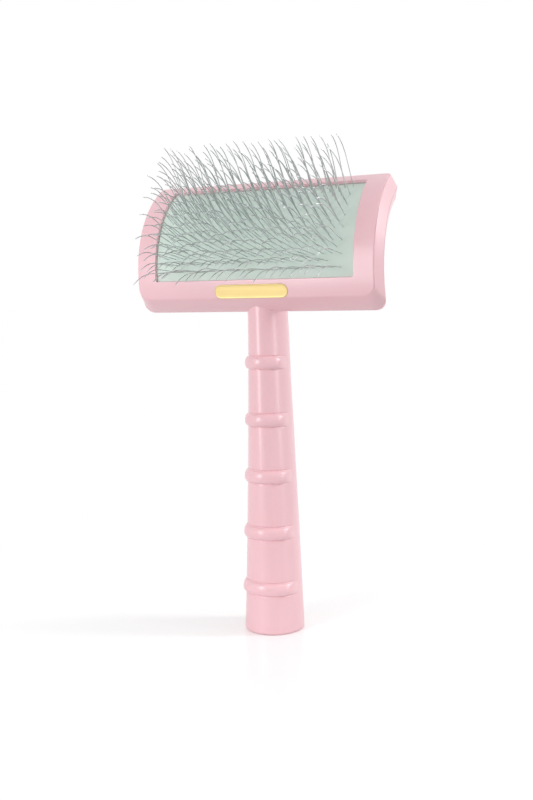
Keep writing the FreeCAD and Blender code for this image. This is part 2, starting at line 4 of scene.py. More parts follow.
import bmesh
import bpy
import numpy as np
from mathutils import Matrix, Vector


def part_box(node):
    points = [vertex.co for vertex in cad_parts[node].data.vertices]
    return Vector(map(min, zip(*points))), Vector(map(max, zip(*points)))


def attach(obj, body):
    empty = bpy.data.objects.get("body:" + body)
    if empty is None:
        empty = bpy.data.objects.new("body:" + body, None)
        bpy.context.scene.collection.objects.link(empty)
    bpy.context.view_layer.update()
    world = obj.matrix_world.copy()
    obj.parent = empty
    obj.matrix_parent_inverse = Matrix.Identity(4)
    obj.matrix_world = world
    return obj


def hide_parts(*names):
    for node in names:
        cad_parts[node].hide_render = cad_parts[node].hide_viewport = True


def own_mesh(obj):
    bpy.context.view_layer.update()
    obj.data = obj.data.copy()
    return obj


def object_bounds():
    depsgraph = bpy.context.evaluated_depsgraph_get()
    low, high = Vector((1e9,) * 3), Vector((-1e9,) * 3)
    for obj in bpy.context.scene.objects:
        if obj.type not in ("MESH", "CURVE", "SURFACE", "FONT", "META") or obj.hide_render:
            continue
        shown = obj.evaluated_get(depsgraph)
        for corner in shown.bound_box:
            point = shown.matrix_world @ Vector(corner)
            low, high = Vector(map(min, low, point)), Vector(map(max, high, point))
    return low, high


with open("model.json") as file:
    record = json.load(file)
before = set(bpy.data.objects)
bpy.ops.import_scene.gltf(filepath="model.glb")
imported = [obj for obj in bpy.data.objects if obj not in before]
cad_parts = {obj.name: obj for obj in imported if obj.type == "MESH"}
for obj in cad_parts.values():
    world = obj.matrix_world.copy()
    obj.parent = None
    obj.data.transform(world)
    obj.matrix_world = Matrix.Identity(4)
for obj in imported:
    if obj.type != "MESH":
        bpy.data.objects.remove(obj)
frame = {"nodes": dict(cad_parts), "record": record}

cad_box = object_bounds()
MM = 0.001

# ------------------------------------------------------------------ bezel: the head's front frame
# One moulding of pink ABS, curved like a piece of tube whose axis runs along the head. A window
# is cut in it for the pin pad. Its four skirts slope back to the rim, where the cover meets it.

FACE_RADIUS, RIM_RADIUS, LIP_RADIUS = 46.5 * MM, 40.0 * MM, 45.0 * MM
FACE_HALF, RIM_HALF, WINDOW_HALF = 58.7 * MM, 61.0 * MM, 49.1 * MM
FACE_LOW, RIM_LOW, HEAD_TOP = (math.radians(turn) for turn in (-18.7, -30.8, 61.3))
WINDOW_LOW, WINDOW_TOP = (math.radians(turn) for turn in (-7.9, 54.7))
PAD_RADIUS, PAD_LOW = 44.8 * MM, math.radians(-10.4)
SKIRT_WALL, END_WALL = 2.1 * MM, math.radians(2.3)

# the head's axis: the bezel's face bulges furthest at its own radius, the pad's edge is the other
AXIS_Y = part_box("bezel")[0][1] + FACE_RADIUS
AXIS_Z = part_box("pin_pad")[0][2] - PAD_RADIUS * math.sin(PAD_LOW)


def on_curve(across, turn, radius):
    """Points of the head: a place along it, an angle up from forward, and a radius from its axis."""
    return np.stack([across, AXIS_Y - radius * np.cos(turn), AXIS_Z + radius * np.sin(turn)], -1)


def ring_pattern(long_side=44, short_side=36, corner=9):
    """One lap of a rounded rectangle: where each sample's centre is, and its way out from there."""
    quarter = np.linspace(0, math.pi / 2, corner)
    laps = []
    for side, (count, start) in enumerate(((long_side, -1.0), (short_side, -1.0),
                                           (long_side, 1.0), (short_side, 1.0))):
        along = np.linspace(start, -start, count, endpoint=False)[1:]
        fixed = np.full(count - 1, -1.0 if side in (0, 3) else 1.0)
        heading = math.pi / 2 * (side - 1)
        line = (along, fixed) if side % 2 == 0 else (fixed, along)
        way = np.full(count - 1, heading)
        laps.append(np.stack([*line, np.cos(way), np.sin(way)]))
        bend = heading + quarter
        end = ((1, -1), (1, 1), (-1, 1), (-1, -1))[side]
        laps.append(np.stack([np.full(corner, float(end[0])), np.full(corner, float(end[1])),
                              np.cos(bend), np.sin(bend)]))
    return np.concatenate(laps, axis=1)


LAP = ring_pattern()


def curved_rings(rows):
    """Rounded rectangles on the head's curve. A row is half length, lower and upper angle, radius
    of the lower and upper corners, and radius from the axis. The corners' circles are drawn on the
    flat sheet and bent with it; along the ends the radius runs from the lower to the upper."""
    half, low, top, low_corner, top_corner, radius = (line[:, None] for line in np.asarray(rows).T)
    centre_x, centre_v, way_x, way_v = LAP
    corner = low_corner + (top_corner - low_corner) * (centre_v + 1) / 2
    reach = (top - low) / 2 * radius
    across = centre_x * (half - corner) + corner * way_x
    rise = centre_v * (reach - corner) + corner * way_v
    return on_curve(across, (low + top) / 2 + rise / radius, radius + 0 * across)


def soften(corners, rounds, closed, steps=6, spans=(0.04, 0.3, 0.7, 0.96)):
    """A path through rows of numbers with each corner replaced by a parabola of a given reach in
    metres, and a few rows on each straight stretch between them."""
    corners = np.asarray(corners, float)
    weights = np.array([1, RIM_RADIUS, RIM_RADIUS, 0, 0, 1])
    count, out = len(corners), []
    share = np.linspace(0, 1, steps + 1)[:, None]
    for index in range(count):
        here, after = corners[index], corners[(index + 1) % count]
        before = corners[index - 1]
        cut = rounds[index]
        if cut and (closed or 0 < index < count - 1):
            back = here + (before - here) * min(0.45, cut / np.linalg.norm((before - here) * weights))
            on = here + (after - here) * min(0.45, cut / np.linalg.norm((after - here) * weights))
            out.append(back * (1 - share) ** 2 + 2 * here * share * (1 - share) + on * share ** 2)
        else:
            on = here
            out.append(here[None])
        if closed or index < count - 1:
            next_cut = rounds[(index + 1) % count]
            size = np.linalg.norm((after - here) * weights)
            stop = after + (here - after) * min(0.45, next_cut / size)
            out.append(np.array([on + (stop - on) * part for part in spans]))
    return np.concatenate(out)


def make_mesh(name, points, faces):
    """A smooth mesh object of these points and faces, in the object's own frame."""
    mesh = bpy.data.meshes.new(name)
    mesh.from_pydata(points.tolist(), [], faces)
    mesh.update()
    mesh.shade_smooth()
    piece = bpy.data.objects.new(name, mesh)
    bpy.context.collection.objects.link(piece)
    return piece


def grid_faces(rows, count, wrap_rows=False):
    """Quads of a grid whose rows are closed loops; the last row may join the first."""
    down = np.arange(rows if wrap_rows else rows - 1)[:, None]
    along = np.arange(count)[None, :]
    here, below = down * count, (down + 1) % rows * count
    beside = (along + 1) % count
    quads = np.stack([here + along, here + beside, below + beside, below + along], -1)
    return quads.reshape(-1, 4).tolist()


def stacked(name, loops, wrap_rows=False):
    """A closed skin over a stack of loops, joined end to end or capped by a fan at each end."""
    rows, count, _ = loops.shape
    points, faces = loops.reshape(-1, 3), grid_faces(rows, count, wrap_rows)
    if not wrap_rows:
        along = np.arange(count)
        beside = (along + 1) % count
        base = rows * count
        points = np.vstack([points, loops[0].mean(0), loops[-1].mean(0)])
        faces += np.stack([np.full(count, base), beside, along], -1).tolist()
        last = (rows - 1) * count
        faces += np.stack([last + along, last + beside, np.full(count, base + 1)], -1).tolist()
    return make_mesh(name, points, faces)


def linear(code):
    """An sRGB hex colour as linear red, green and blue, and a full alpha."""
    channels = [int(code[place:place + 2], 16) / 255 for place in (0, 2, 4)]
    return [((c + 0.055) / 1.055) ** 2.4 if c > 0.04045 else c / 12.92 for c in channels] + [1.0]


def add_node(material, kind, links=(), **settings):
    """A shader node with its settings; links are (its socket, another node, that node's socket)."""
    tree = material.node_tree
    node = tree.nodes.new("ShaderNode" + kind)
    for key, value in settings.items():
        if hasattr(node, key):
            setattr(node, key, value)
        else:
            node.inputs[key.replace("_", " ")].default_value = value
    for socket, source, output in links:
        tree.links.new(source.outputs[output], node.inputs[socket])
    return node


def new_material(name, **surface):
    """A material with a Principled surface whose plain values are set on its own sockets."""
    material = bpy.data.materials.new(name)
    material.use_nodes = True
    shader = material.node_tree.nodes["Principled BSDF"]
    for key, value in surface.items():
        shader.inputs[key.replace("_", " ")].default_value = value
    return material, shader


def moulded_abs(name, colour, tint):
    """Injection-moulded ABS with a fine satin texture from a spark-eroded mould: broad soft
    highlights, a slight unevenness of gloss, and a faint flow tint in the pigment."""
    material, shader = new_material(name, IOR=1.54, Subsurface_Weight=0.08,
                                    Subsurface_Scale=2 * MM, Coat_Weight=0.4,
                                    Coat_Roughness=0.3)
    shader.inputs["Subsurface Radius"].default_value = (1.0, 0.45, 0.45)
    place = add_node(material, "TexCoord")
    # flow marks of the melt, some 40 mm long
    flow = add_node(material, "TexNoise", [("Vector", place, "Object")], Scale=25.0, Detail=2.0)
    tones = add_node(material, "ValToRGB", [("Fac", flow, "Fac")])
    tones.color_ramp.elements[0].position, tones.color_ramp.elements[1].position = 0.3, 0.7
    tones.color_ramp.elements[0].color = linear(tint)
    tones.color_ramp.elements[1].color = linear(colour)
    # mould texture, some 0.4 mm across so that it shows at all
    grain = add_node(material, "TexNoise", [("Vector", place, "Object")], Scale=2500.0, Detail=3.0)
    gloss = add_node(material, "MapRange", [("Value", grain, "Fac")], To_Min=0.28, To_Max=0.38)
    bump = add_node(material, "Bump", [("Height", grain, "Fac")], Strength=0.05, Distance=0.05 * MM)
    tree = material.node_tree
    tree.links.new(tones.outputs["Color"], shader.inputs["Base Color"])
    tree.links.new(gloss.outputs["Result"], shader.inputs["Roughness"])
    tree.links.new(bump.outputs["Normal"], shader.inputs["Normal"])
    return material


def finish_piece(piece, material, body, slot, *nodes):
    """Give a piece its material and body, and let it stand for its CAD nodes. The slot is not used.
    """
    piece.data.materials.append(material)
    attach(piece, body)
    if nodes:
        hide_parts(*nodes)


satin_pink = moulded_abs("satin_moulded_ABS_pink", "f1c5cc", "f0c2c9")

# radii of the lower and upper corners
WINDOW_CORNERS, FACE_CORNERS = (0.8 * MM, 1.2 * MM), (5.0 * MM, 1.4 * MM)
RIM_CORNERS, INNER_CORNERS = (6.5 * MM, 0.8 * MM), (3.5 * MM, 0.6 * MM)
# a fine step runs along the face's lower edge and its ends, where the skirts begin
STEP_DEEP, STEP_WIDE = 0.35 * MM, 0.4 * MM
STEP_TURN = STEP_WIDE / FACE_RADIUS
bezel_path = [
    (RIM_HALF, RIM_LOW, HEAD_TOP, *RIM_CORNERS, RIM_RADIUS),
    (FACE_HALF, FACE_LOW, HEAD_TOP, *FACE_CORNERS, FACE_RADIUS - STEP_DEEP),
    (FACE_HALF - STEP_WIDE, FACE_LOW + STEP_TURN, HEAD_TOP, *FACE_CORNERS,
     FACE_RADIUS - STEP_DEEP),
    (FACE_HALF - STEP_WIDE, FACE_LOW + STEP_TURN, HEAD_TOP, *FACE_CORNERS, FACE_RADIUS),
    (WINDOW_HALF, WINDOW_LOW, WINDOW_TOP, *WINDOW_CORNERS, FACE_RADIUS),
    (WINDOW_HALF, WINDOW_LOW, WINDOW_TOP, *WINDOW_CORNERS, LIP_RADIUS),
    (FACE_HALF - SKIRT_WALL, FACE_LOW + END_WALL, HEAD_TOP - END_WALL, *INNER_CORNERS, LIP_RADIUS),
    (RIM_HALF - SKIRT_WALL, RIM_LOW + END_WALL, HEAD_TOP - END_WALL, *INNER_CORNERS, RIM_RADIUS),
]
bezel_rounds = [0.35 * MM, 0.3 * MM, 0.05 * MM, 0.3 * MM, 0.45 * MM, 0.2 * MM, 0.5 * MM, 0.2 * MM]
bezel_frame = stacked("bezel_frame", curved_rings(soften(bezel_path, bezel_rounds, True)), True)
finish_piece(bezel_frame, satin_pink, "brush", "pink_shell", "bezel")

# ------------------------------------------------------------------ rear cover: the concave tray
# Moulded in the same ABS. It closes the back of the head, follows its curve, and is screwed to
# the bezel. It is the CAD node's own mesh, joined and smoothed, so that its screw holes stay.

# corners nearer than this are one corner, and sharper edges than this stay sharp
JOIN, CREASE = 0.002 * MM, math.radians(25)


def smooth_copy(name, node):
    """A copy of a CAD node's loose triangles, joined where their corners meet, and shaded smooth
    except at edges where two faces meet at more than the crease angle."""
    mesh = frame["nodes"][node].data.copy()
    mesh.name = name
    mesh.materials.clear()
    form = bmesh.new()
    form.from_mesh(mesh)
    bmesh.ops.remove_doubles(form, verts=form.verts, dist=JOIN)
    for face in form.faces:
        face.smooth = True
    for edge in form.edges:
        edge.smooth = edge.is_manifold and edge.calc_face_angle(0) < CREASE
    form.to_mesh(mesh)
    form.free()
    piece = bpy.data.objects.new(name, mesh)
    bpy.context.collection.objects.link(piece)
    return piece


cover_shell = smooth_copy("cover_shell", "rear_cover")
finish_piece(cover_shell, satin_pink, "brush", "pink_shell", "rear_cover")

# ------------------------------------------------------------------ pins: rows of wire staples
# Each staple is one length of hard-drawn steel wire bent to a U. Its crown lies behind the
# cloth and its two legs run straight out through the rubber, then curve towards the handle.

WIRE, CROWN_RADIUS, KNEE = 0.4 * MM, 42.48 * MM, 0.6 * MM
ROWS, LEGS, PITCH = 15, 22, 4.1 * MM
FIRST_ROW, LAST_ROW = math.radians(-2.5), math.radians(51.0)
STRAIGHT, CURVED, BEND = 14.5 * MM, 15.0 * MM, math.radians(36)
# the middle of the knee's quarter round, as a share of its radius
KNEE_MIDDLE = 0.29
# how much the legs differ: share of the bend, and lean to the side and down in radians
BEND_VARIES, YAW_VARIES, RISE_VARIES = 0.07, 0.06, 0.035


def leg_lines(places, turns, crown_sides, bends, yaws, rises):
    """Centre lines of legs: a quarter round out of the crown, a straight run square to the pad
    but for a small lean of its own, and an arc that swings it down. One row each."""
    out = np.stack([0 * turns, -np.cos(turns), np.sin(turns)], -1)
    down = np.stack([yaws, -np.sin(turns), -np.cos(turns)], -1)
    side = np.array([1.0, 0, 0])
    along = out + side * (yaws * 0.5)[:, None] + down * rises[:, None]
    along /= np.linalg.norm(along, axis=1)[:, None]
    down -= along * (down * along).sum(1)[:, None]
    down /= np.linalg.norm(down, axis=1)[:, None]
    crown = on_curve(places, turns, CROWN_RADIUS)
    straight = PAD_RADIUS - CROWN_RADIUS + STRAIGHT
    sweep = CURVED / bends
    swing = bends[:, None] * np.linspace(0, 1, 6)[None, 1:]
    arc = (crown + along * straight)[:, None] \
        + along[:, None] * (sweep[:, None] * np.sin(swing))[..., None] \
        + down[:, None] * (sweep[:, None] * (1 - np.cos(swing)))[..., None]
    knee = [crown + side * (KNEE * crown_sides)[:, None],
            crown + side * (KNEE_MIDDLE * KNEE * crown_sides)[:, None] + along * (KNEE_MIDDLE * KNEE),
            crown + along * KNEE]
    return np.concatenate([np.stack(knee + [crown + along * straight], 1), arc], 1)


def tubes(lines, radius, sides=6):
    """Round tubes along centre lines: a circle square to the line at each point, carried on
    without twist from point to point. The ends are closed by a point a little further on."""
    ahead = np.gradient(lines, axis=1)
    ahead /= np.linalg.norm(ahead, axis=2)[..., None]
    first = np.cross(ahead[:, 0], [0.0, 0.3, 1.0])
    frames = [first / np.linalg.norm(first, axis=1)[:, None]]
    for step in range(1, lines.shape[1]):
        carried = frames[-1] - ahead[:, step] * (frames[-1] * ahead[:, step]).sum(1)[:, None]
        frames.append(carried / np.linalg.norm(carried, axis=1)[:, None])
    right = np.stack(frames, 1)
    over = np.cross(ahead, right)
    angle = np.linspace(0, 2 * math.pi, sides, endpoint=False)
    circle = (right[:, :, None] * np.cos(angle)[:, None] + over[:, :, None] * np.sin(angle)[:, None])
    loops = lines[:, :, None] + circle * radius
    tips = np.stack([lines[:, 0] - ahead[:, 0] * radius * 0.5,
                     lines[:, -1] + ahead[:, -1] * radius * 0.5], 1)
    return loops, tips


def wire_mesh(name, lines, radius):
    """All the wires of one row as one mesh of closed tubes."""
    loops, tips = tubes(lines, radius)
    count, steps, sides, _ = loops.shape
    each = steps * sides + 2
    points = np.concatenate([loops.reshape(count, -1, 3), tips], 1).reshape(-1, 3)
    along = np.arange(sides)
    beside = (along + 1) % sides
    one = grid_faces(steps, sides)
    last = (steps - 1) * sides
    fans = np.stack([np.full(sides, each - 2), beside, along], -1).tolist()
    fans += np.stack([last + along, last + beside, np.full(sides, each - 1)], -1).tolist()
    faces = []
    for index in range(count):
        faces += [[corner + index * each for corner in face] for face in one + fans]
    return make_mesh(name, points, faces)


def drawn_steel():
    """Hard-drawn spring steel wire, nickel washed: a grey metal whose gloss is drawn out along
    the wire, a little darker and duller in patches where it was handled."""
    material, shader = new_material("drawn_spring_steel_wire", Metallic=1.0)
    place = add_node(material, "TexCoord")
    patch = add_node(material, "TexNoise", [("Vector", place, "Object")], Scale=180.0, Detail=2.0)
    tones = add_node(material, "ValToRGB", [("Fac", patch, "Fac")])
    tones.color_ramp.elements[0].position, tones.color_ramp.elements[1].position = 0.3, 0.75
    tones.color_ramp.elements[0].color = linear("aeb2b4")
    tones.color_ramp.elements[1].color = linear("e2e4e5")
    gloss = add_node(material, "MapRange", [("Value", patch, "Fac")], To_Min=0.28, To_Max=0.5)
    material.node_tree.links.new(tones.outputs["Color"], shader.inputs["Base Color"])
    material.node_tree.links.new(gloss.outputs["Result"], shader.inputs["Roughness"])
    return material


wire_steel = drawn_steel()
bent_by_use = np.random.default_rng(7)
leg_places, leg_turns = [], []
for row in range(ROWS):
    turn = FIRST_ROW + (LAST_ROW - FIRST_ROW) * row / (ROWS - 1)
    start, legs = -PITCH * (LEGS - 1) / 2, LEGS
    if row % 2:
        # every second row stands half a pitch over, one staple shorter, to one side in turn
        legs -= 2
        start += PITCH * (0.5 if row % 4 == 1 else 1.5)
    places = start + PITCH * np.arange(legs)
    turns = np.full(legs, turn)
    bends = BEND * (1 + bent_by_use.normal(0, BEND_VARIES, legs))
    yaws = bent_by_use.normal(0, YAW_VARIES, legs)
    rises = bent_by_use.normal(0, RISE_VARIES, legs)
    sides = np.where(np.arange(legs) % 2 == 0, 1.0, -1.0)
    lines = leg_lines(places, turns, sides, bends, yaws, rises)
    wires = np.concatenate([lines[0::2, ::-1], lines[1::2]], 1)
    name = "pin_row_%02d" % (row + 1)
    pins = wire_mesh("wires_%02d" % (row + 1), wires, WIRE / 2)
    finish_piece(pins, wire_steel, "pin_cushion", "pin_steel", name)
    leg_places.append(places)
    leg_turns.append(turns)
leg_places, leg_turns = np.concatenate(leg_places), np.concatenate(leg_turns)

# ------------------------------------------------------------------ rubber pad with its cloth
# A sheet of moulded grey-green rubber, held under the window's lip, with woven cloth bonded to
# its back. The rubber closes on each wire and puckers a little round it.

PAD_BACK, PAD_HALF, CLOTH_BACK = 43.2 * MM, 51.1 * MM, 42.7 * MM
PUCKER, PUCKER_REACH = 0.12 * MM, 0.8 * MM
PAD_TOP = math.radians(57.2)


def shrunk(row, share):
    """A ring's row drawn in towards the middle of its sheet."""
    half, low, top, low_corner, top_corner, radius = row
    middle = (low + top) / 2
    return (half * share, middle + (low - middle) * share, middle + (top - middle) * share,
            low_corner * share, top_corner * share, radius)


def sheet_rows(row, shares):
    """Rows that fill a sheet from its edge to a small ring at its middle."""
    return [shrunk(row, share) for share in shares]


def slab_rows(half, low, top, corner, inner, outer, soft, fill=40):
    """Rows of a closed curved slab: back sheet from its middle out, edge, front sheet back in."""
    back, front = (half, low, top, corner, corner, inner), (half, low, top, corner, corner, outer)
    edge = soften([shrunk(back, 0.95), back, front, shrunk(front, 0.95)], [0, soft, soft, 0], False)
    return (sheet_rows(back, np.linspace(0.03, 0.92, fill // 2)) + [tuple(row) for row in edge]
            + sheet_rows(front, np.linspace(0.93, 0.02, fill)))


def pad_skin(name):
    """The pad's slab with its front drawn in round each pin by a small bell-shaped dip."""
    rows = slab_rows(PAD_HALF, PAD_LOW, PAD_TOP, 2 * MM, PAD_BACK, PAD_RADIUS, 0.5 * MM, 90)
    loops = curved_rings(rows)
    across, up = loops[..., 0], loops[..., 2] - AXIS_Z
    forward = AXIS_Y - loops[..., 1]
    turn, radius = np.arctan2(up, forward), np.hypot(up, forward)
    gap = ((across[..., None] - leg_places) ** 2
           + ((turn[..., None] - leg_turns) * PAD_RADIUS) ** 2)
    dip = PUCKER * np.exp(-gap / PUCKER_REACH ** 2).sum(-1)
    front = radius > PAD_RADIUS - 0.1 * MM
    return stacked(name, on_curve(across, turn, radius - dip * front))


def moulded_rubber():
    """Matt natural rubber filled with chalk and a green pigment: soft, with a powdery bloom
    that lightens it at a glance, and fine calender grain."""
    material, shader = new_material("moulded_rubber_sage", IOR=1.52, Sheen_Weight=0.25,
                                    Sheen_Roughness=0.5)
    place = add_node(material, "TexCoord")
    bloom = add_node(material, "TexNoise", [("Vector", place, "Object")], Scale=60.0, Detail=4.0)
    tones = add_node(material, "ValToRGB", [("Fac", bloom, "Fac")])
    tones.color_ramp.elements[0].position, tones.color_ramp.elements[1].position = 0.3, 0.7
    tones.color_ramp.elements[0].color = linear("d0e1d7")
    tones.color_ramp.elements[1].color = linear("dae9e0")
    grain = add_node(material, "TexNoise", [("Vector", place, "Object")], Scale=3000.0, Detail=2.0)
    gloss = add_node(material, "MapRange", [("Value", grain, "Fac")], To_Min=0.5, To_Max=0.68)
    bump = add_node(material, "Bump", [("Height", grain, "Fac")], Strength=0.12, Distance=0.05 * MM)
    tree = material.node_tree
    tree.links.new(tones.outputs["Color"], shader.inputs["Base Color"])
    tree.links.new(gloss.outputs["Result"], shader.inputs["Roughness"])
    tree.links.new(bump.outputs["Normal"], shader.inputs["Normal"])
    return material


rubber_pad = pad_skin("rubber_pad")
finish_piece(rubber_pad, moulded_rubber(), "pin_cushion", "pad_rubber", "pin_pad")


def woven_cotton():
    """Plain-woven cotton: threads over and under at 0.5 mm, off-white, dull, with painted shade
    darkening the colour where the threads dip.
    """
    material, shader = new_material("woven_cotton_backing", Roughness=0.9, Sheen_Weight=0.3)
    place = add_node(material, "TexCoord")
    weave = [add_node(material, "TexWave", [("Vector", place, "Object")], Scale=320.0,
                      bands_direction=way) for way in ("X", "Z")]
    threads = add_node(material, "Math", [(0, weave[0], "Fac"), (1, weave[1], "Fac")],
                       operation="MULTIPLY")
    # the colour darkens where the weave sinks: painted shade between the threads
    tones = add_node(material, "ValToRGB", [("Fac", threads, "Value")])
    tones.color_ramp.elements[0].color = linear("b9b3a4")
    tones.color_ramp.elements[1].color = linear("e6e1d4")
    bump = add_node(material, "Bump", [("Height", threads, "Value")], Strength=0.3,
                    Distance=0.1 * MM)
    material.node_tree.links.new(tones.outputs["Color"], shader.inputs["Base Color"])
    material.node_tree.links.new(bump.outputs["Normal"], shader.inputs["Normal"])
    return material


# the cloth is cut a little smaller than the pad, and a film of bond lies between them
CLOTH_IN, CLOTH_TURN, BOND = 0.3 * MM, 0.005, 0.02 * MM
cloth_rows = slab_rows(PAD_HALF - CLOTH_IN, PAD_LOW + CLOTH_TURN, PAD_TOP - CLOTH_TURN, 2 * MM,
                       CLOTH_BACK, PAD_BACK - BOND, 0.1 * MM)
cloth_backing = stacked("cloth_backing", curved_rings(cloth_rows))
finish_piece(cloth_backing, woven_cotton(), "pin_cushion", "backing_cloth", "pad_cloth")

# ------------------------------------------------------------------ foam cushion and its plate
# A sheet of open-cell foam between the cloth and a stiff moulded plate. It pushes the pad out
# against the lip; the real foam is squeezed as the pad sinks, but this mesh keeps its shape.
# The plate's edge is clamped by the bezel.

FOAM_HALF, FOAM_FRONT, FOAM_BACK = 50.4 * MM, 42.2 * MM, 37.62 * MM
FOAM_LOW, FOAM_TOP = math.radians(-9.8), math.radians(56.5)
SINK_WAY = np.array(frame["record"]["behaviour"]["joints"][0]["axis"])


def open_foam():
    """Polyurethane foam cut from a block: pale yellow, pitted by open cells of about 1 mm, with
    painted shade darkening each pit towards its bottom.
    """
    material, shader = new_material("open_cell_foam", Roughness=0.95)
    place = add_node(material, "TexCoord")
    cells = add_node(material, "TexVoronoi", [("Vector", place, "Object")], Scale=1000.0)
    # the colour darkens towards each cell's middle, where the bump sinks deepest: painted shade in
    # the pits
    tones = add_node(material, "ValToRGB", [("Fac", cells, "Distance")])
    tones.color_ramp.elements[0].color = linear("c9c09a")
    tones.color_ramp.elements[1].color = linear("eee8cc")
    bump = add_node(material, "Bump", [("Height", cells, "Distance")], Strength=0.5,
                    Distance=0.4 * MM)
    material.node_tree.links.new(tones.outputs["Color"], shader.inputs["Base Color"])
    material.node_tree.links.new(bump.outputs["Normal"], shader.inputs["Normal"])
    return material


foam_rows = slab_rows(FOAM_HALF, FOAM_LOW, FOAM_TOP, 2 * MM, FOAM_BACK, FOAM_FRONT, 0.8 * MM)
foam_block = stacked("foam_block", curved_rings(foam_rows))
finish_piece(foam_block, open_foam(), "brush", "foam", "foam_cushion")
foam_points = np.array([vertex.co for vertex in foam_block.data.vertices])
depth = foam_points @ SINK_WAY
deepest = foam_points[depth.argmax()]
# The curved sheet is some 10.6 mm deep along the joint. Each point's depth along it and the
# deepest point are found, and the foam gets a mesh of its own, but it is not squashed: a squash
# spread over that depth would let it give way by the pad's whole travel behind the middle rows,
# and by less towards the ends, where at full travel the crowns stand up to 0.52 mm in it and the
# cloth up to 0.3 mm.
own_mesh(foam_block)


def plain_moulding(name, light, dark, grain_mm, rough):
    """A plain moulded plastic that nobody sees: even colour with a slight mould grain."""
    material, shader = new_material(name, Roughness=rough)
    place = add_node(material, "TexCoord")
    grain = add_node(material, "TexNoise", [("Vector", place, "Object")],
                     Scale=1000.0 / grain_mm, Detail=2.0)
    tones = add_node(material, "ValToRGB", [("Fac", grain, "Fac")])
    tones.color_ramp.elements[0].color = linear(dark)
    tones.color_ramp.elements[1].color = linear(light)
    material.node_tree.links.new(tones.outputs["Color"], shader.inputs["Base Color"])
    return material


def dress_node(node, material):
    """Put one material on a CAD node whose shape stays."""
    slots = frame["nodes"][node].data.materials
    slots.clear()
    slots.append(material)


dress_node("support_plate", plain_moulding("moulded_polypropylene", "dddcd6", "cfcec8", 1.0, 0.6))

# ------------------------------------------------------------------ name plate
# A small plate of gold-anodised aluminium, stamped with a low rolled edge and left blank. It is
# stuck in its recess below the window with a clear film.

PLAQUE_TURN = math.radians(-14.4)
PLAQUE_REACH, PLAQUE_ROUND = 15.1 * MM, 3.2 * MM
PLAQUE_BASE, PLAQUE_THICK = 45.95 * MM, 0.85 * MM


def plaque_skin(name, arc=20):
    """A stadium-shaped plate: the same outline drawn in by a margin at each height, which gives
    it an upright edge, a rolled border and a flat middle."""
    half_turn = np.linspace(-math.pi / 2, math.pi / 2, arc)
    angles = np.concatenate([half_turn, half_turn + math.pi])
    ends = np.concatenate([np.ones(arc), -np.ones(arc)]) * PLAQUE_REACH
    # margin from the outline and height above the recess floor, as shares of a millimetre
    profile = np.array([(2.6, 0.0), (0.1, 0.0), (0.0, 0.1), (0.0, 0.62), (0.06, 0.74),
                        (0.18, 0.8), (0.32, 0.8), (0.42, 0.76), (0.5, 0.71), (0.6, 0.7),
                        (1.6, 0.71), (2.6, 0.72)]) * MM
    profile[:, 1] *= PLAQUE_THICK / (0.8 * MM)
    round_left = PLAQUE_ROUND - profile[:, :1]
    across = ends + round_left * np.cos(angles)
    rise = round_left * np.sin(angles)
    level = profile[:, 1:] + 0 * across
    cos, sin = math.cos(PLAQUE_TURN), math.sin(PLAQUE_TURN)
    out = PLAQUE_BASE + level
    points = np.stack([across, AXIS_Y - out * cos + rise * sin, AXIS_Z + out * sin + rise * cos], -1)
    return stacked(name, points)


def gold_anodised():
    """Aluminium, brushed, dyed gold and sealed: a warm metal with fine scratches along its
    length. The darker line where the rolled edge turns down comes from the plate's shape alone."""
    material, shader = new_material("gold_anodised_aluminium", Metallic=0.6)
    place = add_node(material, "TexCoord")
    stretch = add_node(material, "Mapping", [("Vector", place, "Object")])
    stretch.inputs["Scale"].default_value = (60.0, 4000.0, 4000.0)
    lines = add_node(material, "TexNoise", [("Vector", stretch, "Vector")], Scale=1.0, Detail=2.0)
    tones = add_node(material, "ValToRGB", [("Fac", lines, "Fac")])
    tones.color_ramp.elements[0].position, tones.color_ramp.elements[1].position = 0.25, 0.75
    tones.color_ramp.elements[0].color = linear("d2ba7c")
    tones.color_ramp.elements[1].color = linear("dcc68a")
    gloss = add_node(material, "MapRange", [("Value", lines, "Fac")], To_Min=0.35, To_Max=0.5)
    material.node_tree.links.new(tones.outputs["Color"], shader.inputs["Base Color"])
    material.node_tree.links.new(gloss.outputs["Result"], shader.inputs["Roughness"])
    return material


gold_plaque = plaque_skin("gold_plaque")
finish_piece(gold_plaque, gold_anodised(), "brush", "gold_plate", "name_plate")
dress_node("name_plate_adhesive", plain_moulding("clear_adhesive_film", "e8e6dc", "dedccf", 0.5, 0.3))

# ------------------------------------------------------------------ screws and inserts
# Six small countersunk screws from the back, two larger ones from inside the tray into brass
# inserts in the neck. They are zinc plated; the inserts are turned brass.


def turned_metal(name, light, dark, rough):
    """Turned or headed metal with a slightly uneven plating."""
    material, shader = new_material(name, Metallic=1.0, Roughness=rough)
    place = add_node(material, "TexCoord")
    patch = add_node(material, "TexNoise", [("Vector", place, "Object")], Scale=900.0, Detail=3.0)
    tones = add_node(material, "ValToRGB", [("Fac", patch, "Fac")])
    tones.color_ramp.elements[0].color = linear(dark)
    tones.color_ramp.elements[1].color = linear(light)
    material.node_tree.links.new(tones.outputs["Color"], shader.inputs["Base Color"])
    return material


zinc = turned_metal("zinc_plated_steel", "c9ccd0", "a6aaae", 0.35)
dress_node("head_screws", zinc)
dress_node("neck_screws", zinc)
dress_node("threaded_inserts", turned_metal("turned_brass", "d9b566", "b8934a", 0.3))

# ------------------------------------------------------------------ handle
# One hollow moulding of the same ABS, oval in section, wider at the foot. Five finger ridges
# stand out on its front half and fade away at the sides. It runs up the back of the head.

GRIP_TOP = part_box("handle_grip")[1][2]
# radius of the cover's back, and how far into its wall the handle's end may stand
BACK_RADIUS, INTO_COVER = 34.0 * MM, 1.0 * MM
